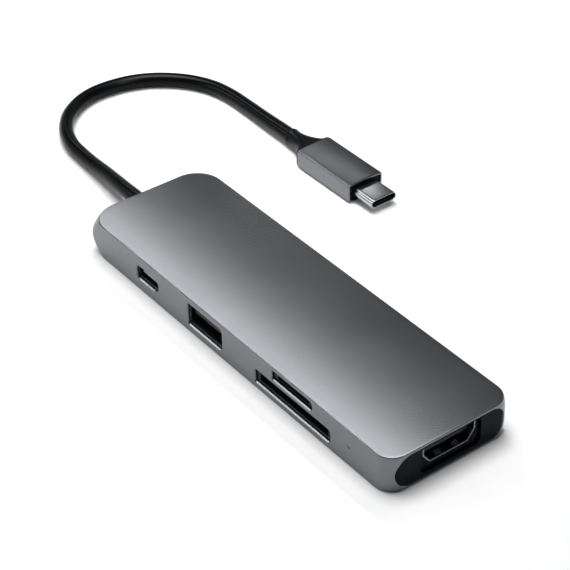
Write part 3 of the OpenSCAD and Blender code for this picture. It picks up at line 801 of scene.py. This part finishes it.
@dataclass
class Cable:
    """The free cable: a round jacket along its route, from the collar to the boot."""

    diameter: float = 4.0
    sides: int = 40
    per_span: int = 8
    route: tuple[tuple[float, float, float], ...] = (
        (-60.3, 0, 4.9), (-64, 0, 4.9), (-68, 0.2, 4.6), (-74, 0.8, 3.9), (-80, 1.4, 3.1),
        (-86, 1.8, 2.4), (-92, 2.2, 2), (-98, 2.8, 2), (-104.5, 5, 2), (-110.5, 9.2, 2),
        (-114.4, 14.4, 2), (-116.5, 19.6, 2), (-117, 25, 2), (-116.2, 31, 2), (-114, 36.8, 2),
        (-110.3, 42, 2), (-105.2, 46.5, 2), (-99, 49.6, 2), (-92, 50.9, 2), (-84.5, 51, 2.1),
        (-78, 50.8, 2.3), (-72.5, 50.6, 2.6), (-68, 50.5, 2.8), (-64, 50.5, 2.8),
    )

    def path(self) -> np.ndarray:
        """The cable's middle line, smooth through every point of the route."""
        path = smooth_path(np.array(self.route), self.per_span)
        path[:, 2] = np.maximum(path[:, 2], self.diameter / 2)
        return path

    def build(self) -> tuple[bpy.types.Object, np.ndarray]:
        """Sweeps the jacket along the path, with a map that unrolls it.

        Returns:
            The jacket, and its middle line in millimetres.
        """
        path = self.path()
        rings = tube_rings(path, self.diameter / 2, self.sides, (0.0, 0.0, 1.0))
        obj = ring_object("cable_jacket_tube", rings, Ends.FLAT)
        self.unroll(obj, path)
        return obj, path

    def unroll(self, obj: bpy.types.Object, path: np.ndarray) -> None:
        """Writes the jacket's map: distance along the path, and distance round the jacket.

        The last face round each ring ends at the full way round, not at 0, so the map has no
        squeezed strip.

        Args:
            obj: The jacket.
            path: Its middle line in millimetres.
        """
        mesh = obj.data
        step = np.linalg.norm(np.diff(path, axis=0), axis=1)
        far = np.concatenate([[0.0], np.cumsum(step)]) * MM
        corner = np.empty(len(mesh.loops), dtype=np.int32)
        mesh.loops.foreach_get("vertex_index", corner)
        ring, k = corner // self.sides, corner % self.sides
        quads = (len(path) - 1) * self.sides * 4
        turn = k.astype(float)
        body = turn[:quads].reshape(-1, 4)
        wraps = (body.max(axis=1) == self.sides - 1) & (body.min(axis=1) == 0)
        body[wraps[:, None] & (body == 0)] = self.sides
        turn[:quads] = body.reshape(-1)
        round_m = turn / self.sides * np.pi * self.diameter * MM
        layer = mesh.uv_layers.new(name="unrolled")
        layer.data.foreach_set("uv", np.stack([far[ring], round_m], axis=1).ravel())


@dataclass
class Collar:
    """The rubber collar where the cable leaves the end cap: a low dome that narrows outwards."""

    hub_end: float = -57.9
    tip: float = -60.3
    inner_end: float = -55.0
    middle_z: float = 4.9
    radius: float = 3.1
    tip_radius: float = 2.3
    neck_radius: float = 2.6
    bore_radius: float = 2.0
    band: float = 1.3
    sides: int = 56

    def build(self) -> bpy.types.Object:
        """Turns the collar's profile about the cable's middle line.

        A straight band comes first. From there to the tip the dome's radius falls as a quarter
        ellipse.
        """
        t = np.linspace(0, np.pi / 2, 12)
        dome_start = self.hub_end - self.band
        dome_x = dome_start + (self.tip - dome_start) * np.sin(t)
        dome_r = self.tip_radius + (self.radius - self.tip_radius) * np.cos(t)
        profile = np.concatenate([
            [[self.inner_end, self.bore_radius], [self.inner_end, self.neck_radius]],
            [[self.hub_end, self.neck_radius], [self.hub_end, self.radius]],
            np.stack([dome_x, dome_r], axis=1),
            [[self.tip, self.bore_radius]],
        ])
        a = np.linspace(0, 2 * np.pi, self.sides, endpoint=False)
        r = profile[:, 1][:, None]
        rings = np.stack([
            np.repeat(profile[:, 0][:, None], self.sides, axis=1),
            r * np.cos(a)[None, :],
            self.middle_z + r * np.sin(a)[None, :],
        ], axis=-1)
        return ring_object("collar", rings, Ends.JOINED)


# ---- Card carriage ----


@dataclass
class CarriageSpring:
    """The coil that pushes the small slot's card carriage back out."""

    x: float = 29.47
    z: float = 7.7
    start_y: float = -6.0
    end_y: float = -2.6
    outer: float = 0.9
    wire: float = 0.16
    turns: int = 6
    steps_per_turn: int = 24
    sides: int = 10
    travel: float = 1.2

    def build(self) -> bpy.types.Object:
        """Winds the coil: x and z go round a circle, while y goes steadily along.

        The wire's circle has the coil's outer radius less half the wire.
        """
        t = np.linspace(0, 1, self.turns * self.steps_per_turn + 1)
        a = 2 * np.pi * self.turns * t
        radius = (self.outer - self.wire) / 2
        y = self.start_y + self.wire + (self.end_y - self.start_y - 2 * self.wire) * t
        path = np.stack([self.x + radius * np.cos(a), y, self.z + radius * np.sin(a)], axis=1)
        rings = tube_rings(path, self.wire / 2, self.sides, (0.0, 1.0, 0.0))
        return ring_object("carriage_coil", rings, Ends.FLAT, 60.0)

    def compress(self, obj: bpy.types.Object) -> None:
        """Gives the coil its own copy of its mesh."""
        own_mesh(obj)


# ---- Plug ----


@dataclass
class Plug:
    """The plug: a crowned aluminium shell, a bright tongue, and a flared boot behind."""

    y: float = 50.5
    z: float = 2.8
    back: float = -54.2
    front: float = -32.6
    width: float = 11.0
    height: float = 5.6
    crown: float = 0.25
    edge: float = 0.55
    end_edge: float = 0.18
    bore_chamfer: float = 0.06
    wall: float = 0.5
    tongue_width: float = 8.25
    tongue_height: float = 2.4
    tongue_wall: float = 0.3
    tongue_lip: float = 0.14
    tongue_back: float = -37.6
    tongue_tip: float = -25.2
    boot_tip: float = -64.0
    boot_lip: float = 0.22
    boot_ring: float = 2.35
    boot_ring_length: float = 1.2
    boot_flare: float = 2.4
    flange: float = 0.5
    boot_sides: int = 64

    def shell_outline(self, inset: float) -> np.ndarray:
        """The shell's outline about its middle, inset all round.

        It is a rectangle with round corners, whose top and bottom swell by the crown towards
        the middle: a point at height z moves by the crown times (1 - (y / half width)^2) less
        the crown, in step with its height.

        Args:
            inset: How far inside the outer outline.

        Returns:
            Points as rows of two numbers.
        """
        half_w, half_h = self.width / 2 - inset, self.height / 2 - inset
        turn = np.linspace(0, np.pi / 2, 9)
        r = max(self.edge - inset, 0.12)
        quarter = np.stack([half_w - r + r * np.cos(turn), half_h - r + r * np.sin(turn)], axis=1)
        across = np.linspace(half_w - r, 0, 9)[1:]
        side = np.linspace(0, half_h - r, 3)[:-1]
        one = np.concatenate([
            np.stack([np.full(2, half_w), side], axis=1), quarter,
            np.stack([across, np.full(8, half_h)], axis=1),
        ])
        drop = self.crown * (one[:, 0] / half_w) ** 2 * (one[:, 1] / half_h)
        one[:, 1] -= drop
        left = one[:-1][::-1] * [-1, 1]
        upper = np.concatenate([one, left])
        lower = upper[1:-1][::-1] * [1, -1]
        return np.concatenate([upper, lower])

    def carry(self, outline: np.ndarray, x: float) -> np.ndarray:
        """Puts an outline about the plug's middle line, at a place along it."""
        return np.stack(
            [np.full(len(outline), x), self.y + outline[:, 0], self.z + outline[:, 1]], axis=1
        )

    def shell(self) -> bpy.types.Object:
        """The shell: its outline carried along it, with rolled end edges and a bore.

        Each end edge is a quarter circle.
        """
        e = self.end_edge
        t = np.linspace(0, np.pi / 2, 5)
        back = [(self.back + e - e * np.sin(a), e - e * np.cos(a)) for a in t[::-1]]
        front = [(self.front - e + e * np.sin(a), e - e * np.cos(a)) for a in t]
        stations = back + [(self.back + 0.5, 0.0), (self.front - 0.5, 0.0)] + front
        cut = self.bore_chamfer
        stations += [(self.front, self.wall - cut), (self.front - cut, self.wall)]
        stations += [(self.back + cut, self.wall), (self.back, self.wall - cut)]
        rings = np.stack([self.carry(self.shell_outline(i), x) for x, i in stations])
        return ring_object("plug_sleeve", rings, Ends.JOINED)

    def tongue(self) -> bpy.types.Object:
        """The tongue: a slot-shaped tube with a rounded lip, narrowed slightly at the mouth."""
        e = self.tongue_lip
        t = np.linspace(0, np.pi / 2, 6)
        tip, wall = self.tongue_tip, self.tongue_wall
        stations = [(self.tongue_back, 0.0), (tip - 0.9, 0.0), (tip - 0.5, 0.02)]
        stations += [(tip - e + e * np.sin(a), 0.02 + e - e * np.cos(a)) for a in t]
        stations += [(tip - e + e * np.cos(a), wall - e + e * np.sin(a)) for a in t]
        stations += [(self.tongue_back, wall)]
        half_w, half_h = self.tongue_width / 2, self.tongue_height / 2
        rings = np.stack([
            self.carry(rounded_box(half_w - i, half_h - i, half_h - i - 0.001, 14), x)
            for x, i in stations
        ])
        return ring_object("plug_mouth", rings, Ends.JOINED)

    def boot_outline(self, half_w: float, half_h: float, power: float) -> np.ndarray:
        """A ring of the boot, which is a circle at power 2 and nearly square above.

        y is the half width times cos a, and z the half height times sin a, where each cosine and
        sine keeps its sign and has its size raised to 2 / power.

        Args:
            half_w: Half the ring's width.
            half_h: Half the ring's height.
            power: How square the ring is.

        Returns:
            Points as rows of two numbers.
        """
        a = np.linspace(0, 2 * np.pi, self.boot_sides, endpoint=False)
        c, s = np.cos(a), np.sin(a)
        y = half_w * np.sign(c) * np.abs(c) ** (2 / power)
        z = half_h * np.sign(s) * np.abs(s) ** (2 / power)
        return np.stack([y, z], axis=1)

    def boot(self) -> bpy.types.Object:
        """The boot: a ring round the cable that flares, slowly and then fast, to the shell.

        From the ring to the shell the half sizes grow by the distance to the power boot_flare.
        """
        start = self.boot_tip + self.boot_ring_length
        end = self.back - self.flange
        more_w = self.width / 2 - 0.4 - self.boot_ring
        more_h = self.height / 2 - 0.35 - self.boot_ring
        ring, lip = self.boot_ring, self.boot_lip
        t = np.linspace(0, np.pi / 2, 5)
        stations = [
            (self.boot_tip + lip - lip * np.cos(a), ring - lip + lip * np.sin(a), 0.0) for a in t
        ]
        stations += [(start - 0.25, ring, 0.0), (start, ring - 0.1, 0.0)]
        for g in np.linspace(0.06, 1, 22):
            x = start + (end - start) * g
            stations.append((x, ring - 0.1 * (1 - g), g**self.boot_flare))
        rings = []
        for x, radius, g in stations:
            outline = self.boot_outline(radius + more_w * g, radius + more_h * g, 2 + 3 * g)
            rings.append(self.carry(outline, x))
        wide = self.width / 2 - 0.12
        tall = self.height / 2 - 0.16
        for x, trim in ((end, 0.1), (end + 0.08, 0.0), (self.back, 0.0), (self.back + 0.02, 0.6)):
            rings.append(self.carry(self.boot_outline(wide - trim, tall - trim, 9.0), x))
        return ring_object("boot_flare", np.stack(rings), Ends.FLAT, 40.0)


# ---- Studio ----


@dataclass
class Studio:
    """A pale floor, soft lights and the camera."""

    camera_at: tuple[float, float, float] = (0.28037, -0.21028, 0.27750)
    azimuth: float = 53.175
    elevation: float = 36.921
    roll: float = -0.957
    lens: float = 120.2
    sensor: float = 36.0
    floor_half: float = 6.0

    def camera(self) -> None:
        """Places the camera: it looks along its azimuth and down by its elevation, then rolls."""
        az, el, roll = np.radians([self.azimuth, self.elevation, self.roll])
        right = np.array([np.cos(az), np.sin(az), 0.0])
        back = np.array([np.sin(az) * np.cos(el), -np.cos(az) * np.cos(el), np.sin(el)])
        up = np.cross(back, right)
        turned_right = np.cos(roll) * right + np.sin(roll) * up
        turned_up = -np.sin(roll) * right + np.cos(roll) * up
        data = bpy.data.cameras.new("camera")
        data.lens = self.lens
        data.sensor_width = self.sensor
        data.clip_start = 0.01
        obj = bpy.data.objects.new("camera", data)
        axes = np.eye(4)
        axes[:3, 0], axes[:3, 1], axes[:3, 2] = turned_right, turned_up, back
        axes[:3, 3] = self.camera_at
        obj.matrix_world = Matrix(axes.tolist())
        bpy.context.scene.collection.objects.link(obj)
        bpy.context.scene.camera = obj

    def floor(self) -> None:
        """Lays a plain pale floor under the hub."""
        half = self.floor_half
        mesh = bpy.data.meshes.new("floor")
        corners = [(-half, -half, 0), (half, -half, 0), (half, half, 0), (-half, half, 0)]
        mesh.from_pydata(corners, [], [(0, 1, 2, 3)])
        obj = bpy.data.objects.new("floor", mesh)
        bpy.context.scene.collection.objects.link(obj)
        # Painted board: matt and nearly white
        board = Finish(
            "painted_board", "#f4f4f4", "#f1f1f1", 0.9, specular=0.1, grain_mm=1.0,
            grain_height_mm=0.001, cloud_mm=60.0,
        )
        mesh.materials.append(board.build())

    def light(
        self,
        name: str,
        at: tuple[float, float, float],
        target: tuple[float, float, float],
        size: tuple[float, float],
        watts: float,
    ) -> None:
        """Hangs a soft rectangular light.

        Args:
            name: The light's name.
            at: Where it hangs.
            target: Where it points.
            size: Its width and height in metres.
            watts: Its power.
        """
        data = bpy.data.lights.new(name, "AREA")
        data.shape = "RECTANGLE"
        data.size, data.size_y = size
        data.energy = watts
        obj = bpy.data.objects.new(name, data)
        back = np.array(at) - np.array(target)
        back /= np.linalg.norm(back)
        right = np.cross([0.0, 0.0, 1.0], back)
        if np.linalg.norm(right) < 1e-6:
            right = np.array([1.0, 0.0, 0.0])
        right /= np.linalg.norm(right)
        axes = np.eye(4)
        axes[:3, 0], axes[:3, 1], axes[:3, 2] = right, np.cross(back, right), back
        axes[:3, 3] = at
        obj.matrix_world = Matrix(axes.tolist())
        obj.visible_camera = False
        bpy.context.scene.collection.objects.link(obj)

    def lights(self) -> None:
        """Hangs the lights and sets the room's own soft light."""
        bpy.context.scene.view_settings.view_transform = "Standard"
        self.light("overhead", (-0.2, 0.0, 1.1), (0, 0, 0), (0.7, 0.7), 12.6)
        self.light("hub_strip", (-0.09, 0.042, 0.10), (-0.09, 0.02, 0.0), (0.26, 0.014), 0.09)
        self.light("plug_strip", (-0.15, 0.125, 0.10), (-0.12, 0.09, 0.0), (0.05, 0.014), 0.006)
        self.light("front", (-0.33, -0.34, 0.24), (0, 0, 0), (0.36, 0.05), 0.5)
        self.room()

    def room(self) -> None:
        """Lights the room: bright walls near the horizon, fading to a dim ceiling."""
        world = bpy.data.worlds.new("room")
        bpy.context.scene.world = world
        world.use_nodes = True
        tree = world.node_tree
        source = add_node(tree, "ShaderNodeTexCoord", {}, {})
        height = add_node(
            tree, "ShaderNodeSeparateXYZ", {}, {"Vector": source.outputs["Generated"]}
        )
        fade = add_node(
            tree,
            "ShaderNodeMapRange",
            {"interpolation_type": "SMOOTHSTEP"},
            {
                "Value": height.outputs["Z"],
                "From Min": 0.12,
                "From Max": 0.45,
                "To Min": 0.8,
                "To Max": 0.07,
            },
        )
        sky = tree.nodes["Background"]
        sky.inputs["Color"].default_value = linear("#f5f6f8")
        tree.links.new(fade.outputs["Result"], sky.inputs["Strength"])

    def build(self) -> None:
        """Sets up the camera, the floor and the lights."""
        self.camera()
        self.floor()
        self.lights()


# ---- The whole ----


def place(obj: bpy.types.Object, wardrobe: Wardrobe, slot: str, *nodes: str) -> bpy.types.Object:
    """Makes a piece ride on the hub, dresses it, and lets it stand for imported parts.

    Args:
        obj: The piece.
        wardrobe: The finishes.
        slot: The slot of its finish.
        nodes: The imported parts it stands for.

    Returns:
        The piece.
    """
    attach(obj, BODY)
    wardrobe.dress(obj, slot)
    if nodes:
        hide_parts(*nodes)
    LOG.info("%s stands for %s in %s", obj.name, ", ".join(nodes) or "nothing", slot)
    return obj


def main() -> None:
    """Builds the hub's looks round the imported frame."""
    logging.basicConfig(level=logging.INFO, format="%(name)s: %(message)s")
    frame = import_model()
    wardrobe = Wardrobe(frame["record"])
    wardrobe.dress_packed(frame["nodes"])
    Studio().build()

    cable = Cable()
    jacket, path = cable.build()
    place(jacket, wardrobe, "cable_jacket", "cable")
    place(Sleeve().build(), wardrobe, "anodised_aluminium", "housing")
    spring = CarriageSpring()
    spring.compress(place(spring.build(), wardrobe, "screw_steel", "card_spring"))
    collar = place(Collar().build(), wardrobe, "moulded_boot", "cable_grommet")
    plug = Plug()
    shell = place(plug.shell(), wardrobe, "anodised_aluminium", "plug_shell")
    mouth = place(plug.tongue(), wardrobe, "plug_steel", "plug_tongue_shell")
    boot = place(plug.boot(), wardrobe, "moulded_boot", "plug_boot")


if __name__ == "__main__":
    main()
